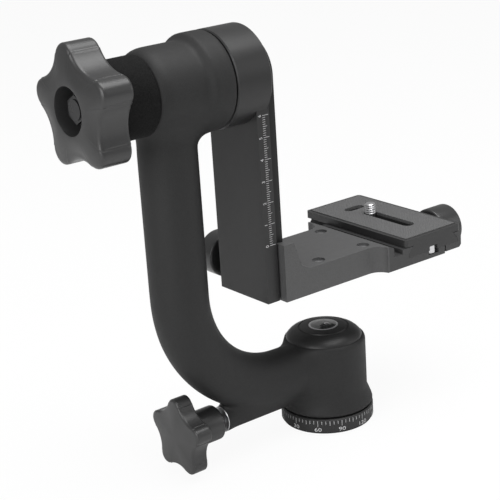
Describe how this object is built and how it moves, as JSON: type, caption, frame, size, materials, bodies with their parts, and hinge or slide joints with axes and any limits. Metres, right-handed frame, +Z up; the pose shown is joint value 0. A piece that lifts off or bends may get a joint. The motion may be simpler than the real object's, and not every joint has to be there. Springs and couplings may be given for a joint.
{
  "type": "gimbal tripod head",
  "caption": "Gimbal head for long lenses: panning base with swing arm, tilting drop arm, sliding level bracket, dovetail clamp with camera plate and lock knobs.",
  "frame": {"origin": "centre of the tripod socket in the base's lower face, on the pan axis", "axes": "+Z up along the pan axis; +X along the tilt axis, from the tilt knob towards the camera plate; +Y along the plate, towards its far end"},
  "size_m": [0.2403, 0.0817, 0.2309],
  "materials": {
    "casting": "textured black powder coat",
    "base_black": "satin black",
    "cap": "satin black",
    "collar": "matte, speckled",
    "arm_metal": "satin charcoal",
    "rail": "satin charcoal",
    "bracket": "satin charcoal",
    "clamp_metal": "satin charcoal",
    "plate_metal": "satin dark grey",
    "pad_rubber": "matte, fine crosshatch",
    "knob_plastic": "satin black",
    "steel": "machined",
    "dark_steel": "black oxide",
    "bright_steel": "polished",
    "bearing_steel": "ground",
    "level_metal": "satin",
    "level_glass": "clear",
    "brass": "machined",
    "washer_plastic": "natural white"
  },
  "bodies": {
    "base": {"base_plate": "base_black", "degree_ring": "base_black", "pan_spindle": "steel", "base_screws": "steel", "pan_washer": "washer_plastic", "pan_bearing_inner": "bearing_steel", "spindle_screw": "steel"},
    "arm": {"swing_arm": "casting", "hub_cap": "cap", "level_cup": "level_metal", "level_window": "level_glass", "pan_bearing_outer": "bearing_steel", "pan_bearing_balls": "bearing_steel", "tilt_bearing_outer": "bearing_steel", "tilt_bearing_balls": "bearing_steel", "tilt_collar": "collar"},
    "pan_brake": {"pan_lock_pad": "brass"},
    "pan_lock_knob": {"pan_knob": "knob_plastic", "pan_lock_stud": "steel"},
    "tilt_brake": {"tilt_brake_sleeve": "steel"},
    "tilt_lock_knob": {"tilt_knob": "knob_plastic", "tilt_knob_bush": "brass"},
    "tilt_arm": {"tilt_arm": "arm_metal", "tilt_shaft": "steel", "tilt_rail": "rail", "rail_screws": "steel", "tilt_bearing_inner": "bearing_steel", "tilt_end_nut": "dark_steel"},
    "carriage": {"l_bracket": "bracket", "clamp_base": "clamp_metal", "platform_screws": "steel", "jaw_guides": "steel"},
    "carriage_brake": {"carriage_pad": "brass"},
    "carriage_lock_knob": {"carriage_knob": "knob_plastic", "carriage_stud": "steel"},
    "jaw": {"clamp_jaw": "clamp_metal"},
    "jaw_knob": {"clamp_knob": "knob_plastic", "clamp_stud": "steel"},
    "plate": {"plate_body": "plate_metal", "plate_pad": "pad_rubber", "stop_screws": "bright_steel"},
    "screw_slider": {"screw_washer": "steel"},
    "camera_screw": {"camera_screw": "bright_steel"}
  },
  "joints": [
    {"name": "pan", "type": "hinge", "parent": "base", "child": "arm", "pos_m": [0, 0, 0], "axis": [0, 0, 1], "continuous": true},
    {"name": "pan_brake_slide", "type": "slide", "parent": "arm", "child": "pan_brake", "axis": [-1, 0, 0], "range_m": [0, 0.0025]},
    {"name": "pan_knob_turn", "type": "hinge", "parent": "pan_brake", "child": "pan_lock_knob", "pos_m": [-0.09, 0, 0.0216], "axis": [-1, 0, 0], "range_deg": [0, 720]},
    {"name": "tilt", "type": "hinge", "parent": "arm", "child": "tilt_arm", "pos_m": [0, 0, 0.2], "axis": [1, 0, 0], "continuous": true},
    {"name": "tilt_brake_slide", "type": "slide", "parent": "arm", "child": "tilt_brake", "axis": [-1, 0, 0], "range_m": [0, 0.00187]},
    {"name": "tilt_knob_turn", "type": "hinge", "parent": "tilt_brake", "child": "tilt_lock_knob", "pos_m": [-0.13, 0, 0.2], "axis": [-1, 0, 0], "range_deg": [0, 540]},
    {"name": "carriage_slide", "type": "slide", "parent": "tilt_arm", "child": "carriage", "axis": [0, 0, 1], "range_m": [0, 0.0666]},
    {"name": "carriage_brake_slide", "type": "slide", "parent": "carriage", "child": "carriage_brake", "axis": [0, 1, 0], "range_m": [0, 0.002]},
    {"name": "carriage_knob_turn", "type": "hinge", "parent": "carriage_brake", "child": "carriage_lock_knob", "pos_m": [-0.0399, 0.032, 0.0974], "axis": [0, 1, 0], "range_deg": [0, 720]},
    {"name": "jaw_slide", "type": "slide", "parent": "carriage", "child": "jaw", "axis": [1, 0, 0], "range_m": [0, 0.003]},
    {"name": "jaw_knob_turn", "type": "hinge", "parent": "jaw", "child": "jaw_knob", "pos_m": [0.088, 0, 0.08655], "axis": [1, 0, 0], "range_deg": [0, 1080]},
    {"name": "plate_slide", "type": "slide", "parent": "carriage", "child": "plate", "axis": [0, 1, 0], "range_m": [-0.0095, 0.0045]},
    {"name": "camera_screw_slide", "type": "slide", "parent": "plate", "child": "screw_slider", "axis": [0, -1, 0], "range_m": [0, 0.0298]},
    {"name": "camera_screw_turn", "type": "hinge", "parent": "screw_slider", "child": "camera_screw", "pos_m": [0.05505, 0.0197, 0.1], "axis": [0, 0, 1], "continuous": true}
  ],
  "couplings": [
    {"joint": "pan_knob_turn", "follows": "pan_brake_slide", "rad_per_m": 5026.5},
    {"joint": "tilt_knob_turn", "follows": "tilt_brake_slide", "rad_per_m": 5026.5},
    {"joint": "carriage_knob_turn", "follows": "carriage_brake_slide", "rad_per_m": 6283.2},
    {"joint": "jaw_knob_turn", "follows": "jaw_slide", "rad_per_m": 6283.2}
  ]
}
